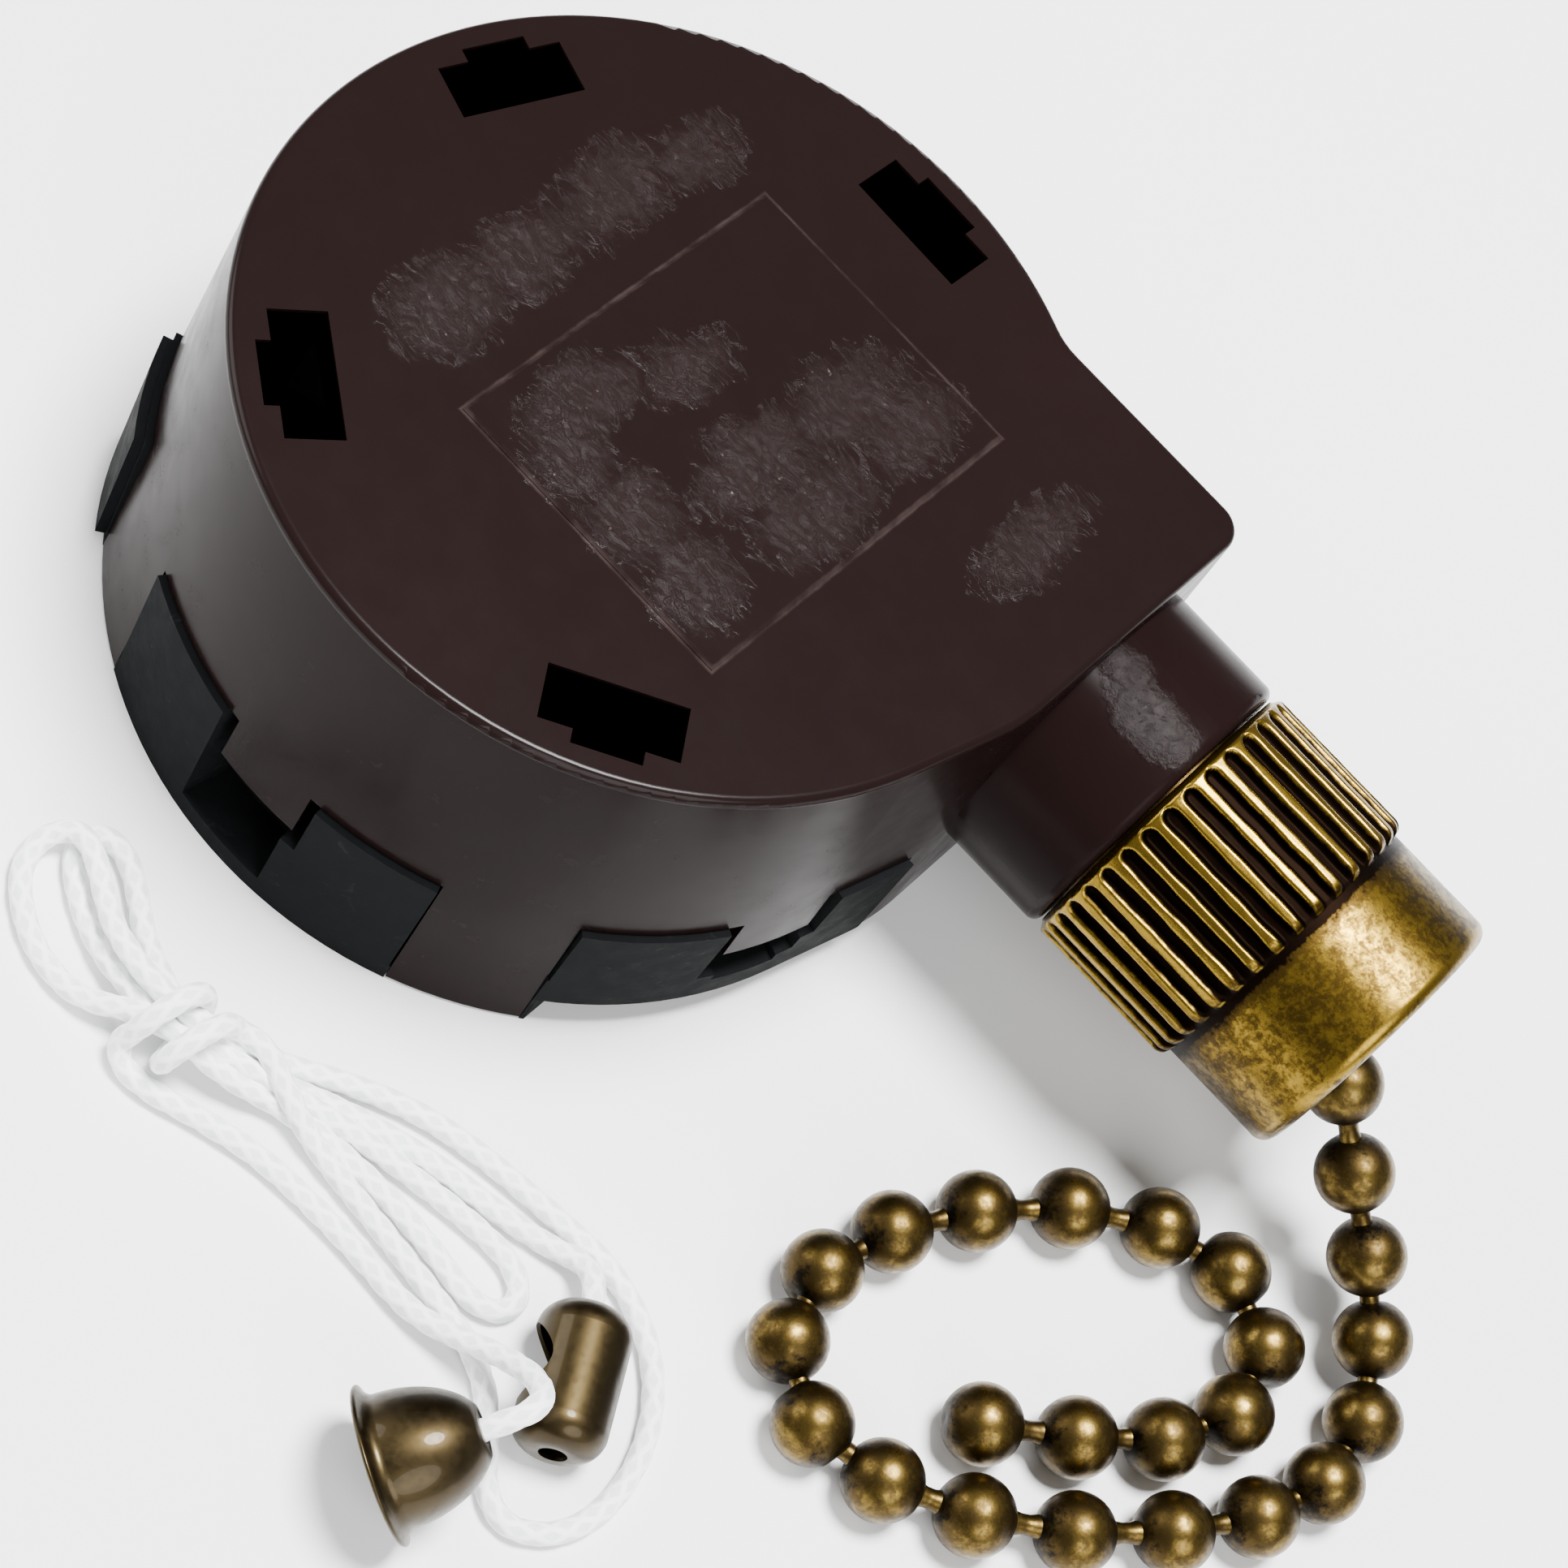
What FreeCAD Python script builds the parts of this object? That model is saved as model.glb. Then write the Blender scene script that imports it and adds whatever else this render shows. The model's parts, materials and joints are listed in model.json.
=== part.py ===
"""Pull cord switch for a ceiling fan: four-wire rotary switch worked by a ball chain.

Millimetres. +Z up, the switch lies on its base. The origin is the centre of the
base's bottom face, on the axis of the drum and rotor. +X runs along the neck
that the chain leaves by.
"""
import FreeCAD, Part
import math
import os
from FreeCAD import Vector as V

# ---------------------------------------------------------------- driving sizes
# housing: a round cup, cover side up, with a square nose beside the neck
TOP_Z = 18.0            # outer face of the cover
BODY_R = 16.75          # round body at the cover face
DRAFT = 0.65            # how far the wall leans out from cover to base
WALL = 1.5              # side wall at the cover
COVER_T = 1.8           # thickness of the cover face
RIM_R = 0.35            # rounding between cover face and wall
NOSE_X = 17.5           # front face of the nose
NOSE_Y = 15.0           # side face of the nose
NOSE_CORNER_R = 1.2     # outer corner of the nose
NOSE_BLEND_R = 3.0      # hollow blend from the nose's side into the round body
NOSE_EASE_R = 10.0      # gentle blend from the round body into the nose's front
NOSE_LEAVE_DEG = 14.0   # where the front leaves the round body, below +X

# pattern of tongues, tabs and wire windows round the rim
SPLIT_Z = 7.7           # top of the base's tabs, where the cup's notches end
WINDOWS_DEG = (-92.0, -20.0, 124.0, -164.0)
TONGUES_DEG = (-56.0, 88.0, 160.0, -128.0)
NOTCH_HALF_DEG = 27.1   # from a window's middle to the tongues beside it
WINDOW_HALF_DEG = 7.2
LATCH_DEG = (-5.2, 7.8)  # short latch tongue over each window, from its middle
LATCH_Z = 5.2
NOSE_SIDE_DEG = 1.0     # the notch beside the neck ends here
SEAM = 0.12             # gap between cup and base
KEY_PAD = 0.4           # one tab stands this proud of the wall, as a key

# base
BASE_T = 1.0            # rim floor
PLUG_Z = 2.8            # top of the base's inner floor
RELIEF_X = 12.0         # the base is cut back beyond this
RELIEF_Z = 1.8
RELIEF_TOP = 3.6
BLOCK_R = 14.9          # contact chamber's ring wall
BLOCK_IN_R = 13.2
BLOCK_Z = 7.4
BLOCK_HALF_DEG = 13.0   # a terminal block fills this much of the ring each side
PORT_R = 1.05           # push-in wire ports
PORT_Z = 4.3
LEAF_DEG = 52.0         # bearing of the detent leaf
LEAF_LOW = 5.6

# neck, threaded nipple and nut
NECK_Y = 8.05
NECK_Z = 10.6
NECK_R = 6.4
NECK_END = 22.7
NIPPLE_R = 4.9
BORE_R = 2.9
NIPPLE_END = 33.3
NUT_R = 6.4
NUT_KNURL_END = 29.8
NUT_BARREL_R = 5.95
NUT_END = 34.9
NUT_RIM_R = 0.6         # rounding between the barrel and the end face
NUT_EYE_R = 4.3         # hole in the end face
NUT_LIP = 0.9           # thickness of the end face
NUT_BORE_R = 4.97
KNURL_RIBS = 36
GROOVE_CUT_R = 0.37
GROOVE_CUT_AT = 6.36     # radius at which the groove cutter's middle runs

# ball chain and drum
BALL_R = 1.6
PITCH = 4.0
LINK_R = 0.42
DRUM_R = 9.9
DRUM_LOW, DRUM_HIGH = 7.85, 13.35
GROOVE_R = 1.85
PIN_R = 1.5
PIN_HOLE_R = 1.56
SPRING_R = 3.25         # clock spring: first turn, growth a turn, strip
SPRING_GROWTH = 1.15
SPRING_TURNS = 6
SPRING_STRIP = 0.35
SPRING_LOW, SPRING_TALL = 13.75, 2.0
SPRING_POST_X = 11.2    # post that holds the spring's outer end

# extension cord, coupling and bell
CORD_R = 0.45
COUPLING_R = 1.8
COUPLING_L = 5.8
COUPLING_WALL = 0.15
BELL_R = 2.95           # flared rim
BELL_DOME_R = 2.3
BELL_L = 3.9
BELL_WALL = 0.28

os.makedirs("parts", exist_ok=True)


# ---------------------------------------------------------------- small helpers
def polar(radius, degrees, z=0.0):
    a = math.radians(degrees)
    return V(radius * math.cos(a), radius * math.sin(a), z)


def disc(radius, z0, z1, x=0.0, y=0.0):
    return Part.makeCylinder(radius, z1 - z0, V(x, y, z0))


def ring(inner, outer, z0, z1):
    return disc(outer, z0, z1).cut(disc(inner, z0 - 1, z1 + 1))


def tube_x(radius, x0, x1):
    """Round bar on the neck's axis."""
    return Part.makeCylinder(radius, x1 - x0, V(x0, NECK_Y, NECK_Z), V(1, 0, 0))


def block(x0, x1, y0, y1, z0, z1):
    return Part.makeBox(x1 - x0, y1 - y0, z1 - z0, V(x0, y0, z0))


def prism(points, z0, z1):
    """Straight-sided solid over a polygon of (x, y) points."""
    wire = Part.makePolygon([V(x, y, z0) for x, y in points] + [V(points[0][0], points[0][1], z0)])
    return Part.Face(wire).extrude(V(0, 0, z1 - z0))


def wedge(a0, a1, z0, z1, radius=40.0):
    """Sector of a disc between two bearings, less than 180 degrees apart."""
    steps = 3
    rim = [polar(radius, a0 + (a1 - a0) * i / steps) for i in range(steps + 1)]
    return prism([(0.0, 0.0)] + [(p.x, p.y) for p in rim], z0, z1)


def turned(profile, origin, axis, side):
    """Solid of revolution: profile is (distance along axis, radius) points, side is square to axis."""
    points = [origin + axis * a + side * r for a, r in profile]
    face = Part.Face(Part.makePolygon(points + [points[0]]))
    return face.revolve(origin, axis, 360)


def radial(solid, degrees):
    """Turn a solid drawn on the +X side to a bearing."""
    copy = solid.copy()
    copy.rotate(V(0, 0, 0), V(0, 0, 1), degrees)
    return copy


def write(name, shape):
    shape = shape.removeSplitter() if shape.ShapeType != "Compound" else shape
    solids = shape.Solids
    out = solids[0] if len(solids) == 1 else Part.makeCompound(solids)
    out.exportStep("parts/%s.step" % name)
    box = out.optimalBoundingBox(False, False)
    print("%-24s solids %d valid %s vol %9.2f  x %.2f..%.2f y %.2f..%.2f z %.2f..%.2f" % (
        name, len(solids), out.isValid(), out.Volume,
        box.XMin, box.XMax, box.YMin, box.YMax, box.ZMin, box.ZMax))
    return out


# ---------------------------------------------------------------- outline of the housing
def outline(offset, z):
    """Closed outline of the round body with its nose, grown by offset."""
    radius = BODY_R + offset
    front, side = NOSE_X + offset, NOSE_Y + offset
    corner, blend, ease = NOSE_CORNER_R + offset, NOSE_BLEND_R - offset, NOSE_EASE_R + offset
    corner = max(corner, 0.3)
    leave = polar(radius, -NOSE_LEAVE_DEG, z)
    heading = V(math.sin(math.radians(NOSE_LEAVE_DEG)), math.cos(math.radians(NOSE_LEAVE_DEG)), 0)
    knee = leave + heading * ((front - leave.x) / heading.x)
    reach = ease * math.tan(math.radians(NOSE_LEAVE_DEG / 2))
    ease_from, ease_to = knee - heading * reach, knee + V(0, reach, 0)
    ease_mid = V(front - ease, ease_to.y, z) + polar(ease, -NOSE_LEAVE_DEG / 2)
    corner_mid = V(front - corner, side - corner, z) + polar(corner, 45)
    blend_x = math.sqrt((radius + blend) ** 2 - (side + blend) ** 2)
    blend_c = V(blend_x, side + blend, z)
    blend_to = V(blend_x * radius / (radius + blend), (side + blend) * radius / (radius + blend), z)
    blend_mid = blend_c + ((V(blend_x, side, z) - blend_c) + (blend_to - blend_c)).normalize() * blend
    edges = [
        Part.LineSegment(leave, ease_from),
        Part.Arc(ease_from, ease_mid, ease_to),
        Part.LineSegment(ease_to, V(front, side - corner, z)),
        Part.Arc(V(front, side - corner, z), corner_mid, V(front - corner, side, z)),
        Part.LineSegment(V(front - corner, side, z), V(blend_x, side, z)),
        Part.Arc(V(blend_x, side, z), blend_mid, blend_to),
        Part.Arc(blend_to, V(-radius, 0, z), leave),
    ]
    return Part.Wire([e.toShape() for e in edges])


def outline_prism(offset, z0, z1):
    return Part.Face(outline(offset, z0)).extrude(V(0, 0, z1 - z0))


# ---------------------------------------------------------------- housing cover
def hat_slot(degrees):
    """Slot near the rim, wide inside with a narrower step outwards."""
    inner, outer, step = 12.9, 15.15, 15.72
    wide, narrow = 2.65, 1.34
    deep = 13.0
    slot = block(inner, outer, -wide, wide, deep, TOP_Z + 1)
    slot = slot.fuse(block(outer - 0.5, step, -narrow, narrow, deep, TOP_Z + 1))
    return radial(slot, degrees)


def cup_shell():
    outside = Part.makeLoft([outline(DRAFT, 0.0), outline(0.0, TOP_Z)], True, True)
    rim = [e for e in outside.Edges if e.BoundBox.ZMin > TOP_Z - 0.01]
    outside = outside.makeFillet(RIM_R, rim)
    neck = tube_x(NECK_R, NOSE_X - 3.0, NECK_END)
    lip = [e for e in neck.Edges if e.BoundBox.XMin > NECK_END - 0.01]
    neck = neck.makeFillet(0.45, lip)
    shell = outside.fuse(neck)
    return shell.cut(outline_prism(-WALL, -1.0, TOP_Z - COVER_T))


def housing_cover():
    cup = cup_shell()
    cup = cup.cut(tube_x(NIPPLE_R, NOSE_X - 3.0, NECK_END + 1))
    for middle in WINDOWS_DEG:
        high = middle + NOTCH_HALF_DEG
        if middle == -20.0:
            high = NOSE_SIDE_DEG
        notch = wedge(middle - NOTCH_HALF_DEG, high, -1.0, SPLIT_Z)
        notch = notch.cut(wedge(middle + LATCH_DEG[0], middle + LATCH_DEG[1], LATCH_Z, SPLIT_Z + 1))
        notch = notch.cut(tube_x(NECK_R + 0.3, 16.0, 40.0))
        cup = cup.cut(notch)
    cup = cup.cut(block(RELIEF_X, 40, -40, 40, -1, RELIEF_Z + 0.05))
    cup = cup.cut(disc(40, -1, 0.15))
    for degrees in (-56.1, 88.5, 161.7, 233.4):
        cup = cup.cut(hat_slot(degrees))
    # post for the return spring, blind hole for the pin's top end, raised panel
    cup = cup.fuse(disc(0.8, 13.7, TOP_Z - COVER_T + 0.2, SPRING_POST_X, 0.0))
    cup = cup.cut(disc(PIN_R, TOP_Z - COVER_T - 1, 17.0))
    panel = block(-4.1, 8.8, -7.5, 9.3, TOP_Z - 0.1, TOP_Z + 0.14)
    panel = panel.makeChamfer(0.1, [e for e in panel.Edges if e.BoundBox.ZMin > TOP_Z + 0.1])
    return cup.fuse(panel)


# ---------------------------------------------------------------- base
def base_plate():
    plug = outline_prism(-WALL - SEAM, 0.0, PLUG_Z)
    rim = outline_prism(DRAFT, 0.0, BASE_T)
    rim = rim.cut(block(RELIEF_X, 40, -40, 40, -1, BASE_T + 1))
    lifted = outline_prism(DRAFT, RELIEF_Z, RELIEF_TOP).common(block(RELIEF_X - 0.6, 40, -40, 40, -1, 9))
    lifted = lifted.cut(disc(BLOCK_R, 0, PLUG_Z + 5))
    step = outline_prism(DRAFT, 0.0, RELIEF_TOP).common(block(RELIEF_X - 0.6, RELIEF_X, -40, 40, -1, 9))
    step = step.cut(disc(BLOCK_R, 0, 9))
    rim = rim.fuse([lifted, step])
    # tongues of the cup and the whole nose pass outside the base's floor
    inner = outline_prism(-WALL - SEAM, -1, 9)
    for middle in TONGUES_DEG:
        low, high = middle - 9.0, middle + 9.0
        rim = rim.cut(wedge(low, high, -1, 9).cut(inner))
    rim = rim.cut(wedge(NOSE_SIDE_DEG - 0.4, 88.0, -1, 9).cut(inner))
    base = plug.cut(block(RELIEF_X, 40, -40, 40, -1, RELIEF_Z)).fuse(rim)
    # upstanding tabs each side of each wire window
    ring_zone = outline_prism(DRAFT, 0.3, SPLIT_Z - SEAM).cut(outline_prism(-WALL + 0.05, -1, 9))
    for middle in WINDOWS_DEG:
        gap = 0.35
        low, high = middle - NOTCH_HALF_DEG + gap, middle + NOTCH_HALF_DEG - gap
        if middle == -20.0:
            high = NOSE_SIDE_DEG - gap
        floor_z = RELIEF_TOP - 0.5 if middle == -20.0 else 0.3
        left = wedge(low, middle - WINDOW_HALF_DEG, floor_z, SPLIT_Z)
        right = wedge(middle + WINDOW_HALF_DEG, high, floor_z, SPLIT_Z)
        right = right.cut(wedge(middle, middle + LATCH_DEG[1] + 1.6, LATCH_Z - 0.7, SPLIT_Z + 1))
        base = base.fuse([ring_zone.common(left), ring_zone.common(right)])
    key = ring(BODY_R + DRAFT - 0.5, BODY_R + DRAFT + KEY_PAD, 0.3, SPLIT_Z - 0.4)
    base = base.fuse(key.common(wedge(-154.0, -138.2, 0, 9)))
    # ring wall of the contact chamber, open where the terminal blocks stand
    chamber = ring(BLOCK_IN_R, BLOCK_R, PLUG_Z - 0.5, BLOCK_Z)
    for middle in WINDOWS_DEG:
        gap = BLOCK_HALF_DEG + 0.4
        chamber = chamber.cut(wedge(middle - gap, middle + gap, PLUG_Z, BLOCK_Z + 1))
    base = base.fuse(chamber)
    # the way in for the wire over the raised step under the neck
    way_in = block(BLOCK_R, BLOCK_R + 5, -1.4, 1.4, PORT_Z - PORT_R - 0.1, RELIEF_TOP + 1)
    base = base.cut(radial(way_in, WINDOWS_DEG[1]))
    shelves = block(12.0, 13.5, 1.9, 2.9, PLUG_Z - 0.3, LEAF_LOW)
    shelves = shelves.fuse(block(12.0, 13.5, -2.9, -1.9, PLUG_Z - 0.3, LEAF_LOW))
    boss = disc(3.0, PLUG_Z - 0.3, 4.8)
    return base.fuse([boss, radial(shelves, LEAF_DEG)]).cut(disc(PIN_R, 0.8, 9))


# ---------------------------------------------------------------- neck metalwork
def threaded_nipple():
    bar = tube_x(NIPPLE_R, 15.9, NIPPLE_END)
    bar = bar.makeChamfer(0.5, [e for e in bar.Edges if e.BoundBox.XMin > NIPPLE_END - 0.01])
    flange = tube_x(5.3, 15.0, NOSE_X - WALL - 0.02)
    return bar.fuse(flange).cut(tube_x(BORE_R, 14.0, 40.0))


def knurled_nut():
    origin = V(0, NECK_Y, NECK_Z)
    profile = [
        (NECK_END + 0.1, NUT_BORE_R), (NECK_END + 0.1, NUT_R - 0.35), (NECK_END + 0.45, NUT_R),
        (NUT_KNURL_END - 0.35, NUT_R), (NUT_KNURL_END - 0.1, NUT_R - 0.12), (NUT_KNURL_END, NUT_BARREL_R)]
    for k in range(7):
        turn = math.radians(15 * k)
        back, inward = NUT_RIM_R * (1 - math.sin(turn)), NUT_RIM_R * (1 - math.cos(turn))
        profile.append((NUT_END - back, NUT_BARREL_R - inward))
    profile += [
        (NUT_END, NUT_EYE_R + 0.25), (NUT_END - 0.25, NUT_EYE_R),
        (NUT_END - NUT_LIP, NUT_EYE_R), (NUT_END - NUT_LIP, NUT_BORE_R)]
    nut = turned(profile, origin, V(1, 0, 0), V(0, 0, 1))
    start, stop = NECK_END + 0.85, NUT_KNURL_END + 1.0
    nearest = V(start, NECK_Y, NECK_Z + GROOVE_CUT_AT)
    cutter = Part.makeCylinder(GROOVE_CUT_R, stop - start, nearest, V(1, 0, 0))
    cutter = cutter.fuse(Part.makeSphere(GROOVE_CUT_R, nearest))
    grooves = []
    for i in range(KNURL_RIBS):
        tool = cutter.copy()
        tool.rotate(origin, V(1, 0, 0), 360.0 * i / KNURL_RIBS)
        grooves.append(tool)
    return nut.cut(grooves)


# ---------------------------------------------------------------- drum, rotor and their pin
def centre_pin():
    pin = disc(PIN_R, 0.85, 16.95)
    ends = [e for e in pin.Edges if e.BoundBox.ZMin > 16.9]
    return pin.makeChamfer(0.25, ends)


def chain_drum():
    body = disc(DRUM_R, DRUM_LOW, DRUM_HIGH)
    mouth = ring(NECK_Y, DRUM_R + 1, NECK_Z - GROOVE_R, NECK_Z + GROOVE_R)
    body = body.cut(mouth.fuse(Part.makeTorus(NECK_Y, GROOVE_R, V(0, 0, NECK_Z))))
    web = block(6.0, DRUM_R - 0.1, -0.25, 0.25, NECK_Z - GROOVE_R - 0.1, NECK_Z + GROOVE_R + 0.1)
    web = web.cut(block(7.3, DRUM_R + 1, -1, 1, NECK_Z - 0.6, NECK_Z + 0.6))
    step = math.degrees(PITCH / NECK_Y)
    body = body.fuse(radial(web, 90 + 3.5 * step))
    hub = disc(2.9, DRUM_HIGH - 0.2, 15.8)
    recess = ring(3.5, 6.0, DRUM_LOW - 1, DRUM_LOW + 0.85)
    return body.fuse(hub).cut([recess, disc(PIN_HOLE_R, 0, 20)])


def pawl_ring():
    band = ring(3.6, 5.9, DRUM_LOW, DRUM_LOW + 0.8)
    for i in range(4):
        pawl = wedge(-9, 9, DRUM_LOW - 0.18, DRUM_LOW + 0.1).common(ring(3.9, 5.6, 0, 20))
        band = band.fuse(radial(pawl, 45 + 90 * i))
    return band


def contact_rotor():
    body = disc(9.0, 5.4, 7.3)
    for i in range(4):
        tooth = wedge(0, 34, 7.2, 7.6).common(ring(3.8, 5.8, 0, 20))
        body = body.fuse(radial(tooth, 90 * i))
        notch = polar(9.5, 52 + 90 * i)
        body = body.cut(disc(0.9, 0, 20, notch.x, notch.y))
    return body.cut(disc(PIN_HOLE_R, 0, 20))


def rotor_contact():
    """Copper plate under the rotor: a hub and a three-quarter contact track."""
    track = ring(5.2, 8.6, 5.0, 5.4).cut(wedge(80, 160, 4, 6))
    spokes = block(-8.0, 8.0, -1.1, 1.1, 5.0, 5.4)
    plate = track.fuse([spokes, disc(3.6, 5.0, 5.4)])
    return plate.cut(disc(PIN_HOLE_R + 0.4, 0, 20))


def spiral_edges(offset):
    """Half circles of growing size, alternately about two centres, from inside out."""
    edges = []
    for i in range(SPRING_TURNS):
        radius = SPRING_R + SPRING_GROWTH * i + offset
        wider, middle = radius + SPRING_GROWTH / 2, SPRING_GROWTH / 2
        for arc in ((V(radius, 0, 0), V(0, radius, 0), V(-radius, 0, 0)),
                    (V(-radius, 0, 0), V(middle, -wider, 0), V(middle + wider, 0, 0))):
            edges.append(Part.Arc(*arc).toShape())
    return edges


def return_spring():
    """Flat clock spring round the drum's hub."""
    inside, outside = spiral_edges(-SPRING_STRIP / 2), spiral_edges(SPRING_STRIP / 2)
    caps = []
    for x in (SPRING_R, SPRING_R + SPRING_GROWTH * SPRING_TURNS):
        caps.append(Part.LineSegment(V(x - SPRING_STRIP / 2, 0, 0), V(x + SPRING_STRIP / 2, 0, 0)).toShape())
    outline_wire = Part.Wire(Part.__sortEdges__(inside + outside + caps))
    spring = Part.Face(outline_wire).extrude(V(0, 0, SPRING_TALL))
    spring.translate(V(0, 0, SPRING_LOW))
    return spring


# ---------------------------------------------------------------- wiring
def terminal_block():
    """Holder of one wire's contact: port, rails beside the strip, cheeks beside the clamp, on +X."""
    holder = ring(BLOCK_IN_R, BLOCK_R, PLUG_Z, BLOCK_Z)
    holder = holder.common(wedge(-BLOCK_HALF_DEG, BLOCK_HALF_DEG, PLUG_Z, BLOCK_Z))
    inward = BLOCK_IN_R + 0.3
    rail = block(6.5, inward, 1.65, 2.6, PLUG_Z, PLUG_Z + 1.2)
    cheek = block(9.7, inward, 1.32, 2.6, PLUG_Z + 0.45, 6.5)
    for piece in (rail, cheek):
        holder = holder.fuse([piece, piece.mirror(V(0, 0, 0), V(0, 1, 0))])
    port = Part.makeCylinder(PORT_R, 8.0, V(BLOCK_IN_R - 2, 0, PORT_Z), V(1, 0, 0))
    flare = Part.makeCone(PORT_R, PORT_R + 0.6, 0.6, V(BLOCK_R - 0.6, 0, PORT_Z), V(1, 0, 0))
    return holder.cut(port.fuse(flare))


def terminal():
    """Copper strip from the wire port to a raised contact finger, on +X."""
    plate = block(5.8, 12.9, -1.5, 1.5, PLUG_Z, PLUG_Z + 0.4)
    riser = block(5.8, 6.2, -1.1, 1.1, PLUG_Z, 4.9)
    finger = block(5.8, 7.8, -1.1, 1.1, 4.5, 4.9)
    return plate.fuse([riser, finger])


def wire_clamp():
    """Bent steel leaf that grips the wire against the terminal, on +X."""
    side = [(9.8, 6.2), (12.3, 6.2), (10.3, 3.5), (10.6, 3.4), (12.9, 6.1), (12.9, 6.45), (9.8, 6.45)]
    wire = Part.makePolygon([V(x, -1.3, z) for x, z in side + side[:1]])
    return Part.Face(wire).extrude(V(0, 2.6, 0))


def detent_leaf():
    """Folded spring leaf whose nose drops into the rotor's notches."""
    outside = [(12.6, -2.6), (12.85, -2.6), (12.85, 2.6), (12.6, 2.6), (12.6, 2.3), (9.5, 0.2), (9.5, -0.2),
               (12.6, -2.3)]
    bow = prism(outside, LEAF_LOW, LEAF_LOW + 1.5)
    hollow = prism([(12.55, -1.9), (10.0, 0.0), (12.55, 1.9)], LEAF_LOW - 1, LEAF_LOW + 3)
    return radial(bow.cut(hollow), LEAF_DEG)


# ---------------------------------------------------------------- ball chain
def ball(centre, bearing):
    """Bead whose seam line faces a bearing, away from the links."""
    bead = radial(Part.makeSphere(BALL_R), bearing)
    bead.translate(centre)
    return bead


def link(a, b):
    return Part.makeCylinder(LINK_R, (b - a).Length, a, b - a)


def chain_wrap():
    """Balls that lie in the drum's groove, the last one behind the web."""
    bearings = [90 + math.degrees(PITCH / NECK_Y) * i for i in range(5)]
    places = [polar(NECK_Y, bearing, NECK_Z) for bearing in bearings]
    shape = ball(places[0], bearings[0])
    for a, b, bearing in zip(places, places[1:], bearings[1:]):
        shape = shape.fuse([link(a, b), ball(b, bearing)])
    return shape


def chain_lead():
    """Straight run of chain from the drum through the neck."""
    places = [V(PITCH * (i + 1), NECK_Y, NECK_Z) for i in range(7)]
    shape = ball(places[0], 90)
    for a, b in zip(places, places[1:]):
        shape = shape.fuse([link(a, b), ball(b, 90)])
    return shape


# free end of the chain: out of the nut, down to the table and round in one loop
CHAIN_ROUTE = [
    (29.62, 8.05, 10.6), (32.0, 8.0, 10.45), (34.2, 7.5, 9.6), (36.2, 6.55, 7.85), (38.6, 6.1, 5.9),
    (41.6, 5.3, 3.5), (44.7, 3.3, 1.62),
    (46.3, -0.3, 1.62), (45.4, -4.4, 1.62), (42.8, -8.6, 1.62), (39.1, -12.6, 1.62), (34.9, -15.4, 1.62),
    (31.1, -16.6, 1.62), (27.9, -15.3, 1.62), (26.5, -12.1, 1.62), (27.3, -8.3, 1.62), (29.2, -4.5, 1.62),
    (31.9, -1.1, 1.62), (35.1, 1.3, 1.62), (38.4, 2.1, 1.62), (41.2, 0.5, 1.62), (41.9, -2.6, 1.62),
    (40.4, -5.8, 1.62), (37.8, -8.6, 1.62), (35.0, -11.0, 1.62)]


def rounded_path(points):
    """Straight runs joined by tangent arcs as large as the runs allow."""
    corners = [V(*p) for p in points]
    edges, at = [], corners[0]
    for before, corner, after in zip(corners, corners[1:], corners[2:]):
        into, out = (corner - before), (after - corner)
        shorter = min(into.Length, out.Length)
        into.normalize()
        out.normalize()
        half = into.getAngle(out) / 2
        reach = 0.45 * shorter
        radius = reach / math.tan(half)
        begin, end = corner - into * reach, corner + out * reach
        inward = (out - into).normalize()
        middle = corner + inward * (radius / math.cos(half) - radius)
        edges.append(Part.LineSegment(at, begin).toShape())
        edges.append(Part.Arc(begin, middle, end).toShape())
        print("  bend radius %.2f mm" % radius)
        at = end
    edges.append(Part.LineSegment(at, corners[-1]).toShape())
    return Part.Wire(edges)


def pull_chain():
    path = rounded_path(CHAIN_ROUTE)
    heading = (V(*CHAIN_ROUTE[1]) - V(*CHAIN_ROUTE[0])).normalize()
    section = Part.Wire(Part.makeCircle(BALL_R, V(*CHAIN_ROUTE[0]), heading))
    tube = path.makePipeShell([section], True, False)
    print("  chain length %.2f mm, volume / (section x length) %.4f" % (
        path.Length, tube.Volume / (math.pi * BALL_R ** 2 * path.Length)))
    return tube


# ---------------------------------------------------------------- extension cord set
KNOT = (4.4, -24.2)
OUTER_LOOP = [
    (5.5, -23.4), (7.4, -21.9), (9.4, -20.3), (12.3, -18.7), (15.2, -18.0), (18.4, -17.6), (21.2, -17.3),
    (23.8, -18.0), (25.8, -19.5), (27.1, -21.6), (27.6, -24.0), (27.1, -26.2), (25.6, -27.5), (24.1, -27.1),
    (23.1, -26.0), (22.2, -25.0), (21.0, -24.1), (19.2, -23.5), (14.3, -22.9), (10.3, -22.9), (5.5, -24.0)]
INNER_LOOP = [
    (5.5, -23.6), (9.1, -21.7), (13.0, -20.8), (17.0, -20.2), (18.8, -20.6), (19.4, -21.5), (18.5, -22.1),
    (16.8, -21.9), (13.0, -21.9), (9.0, -22.4)]
COUPLING_STRAND = [(7.0, -22.7), (10.0, -21.1), (13.6, -19.8), (17.0, -19.2), (19.4, -18.8), (20.6, -18.3)]
BELL_STRAND = [(5.5, -24.6), (10.0, -24.2), (14.3, -24.2), (17.6, -24.5)]
SHORT_LOOP_A = [
    (3.4, -24.0), (0.8, -22.9), (-1.4, -21.9), (-3.0, -21.6), (-3.1, -22.6), (-1.3, -23.7), (3.4, -24.4)]
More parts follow.
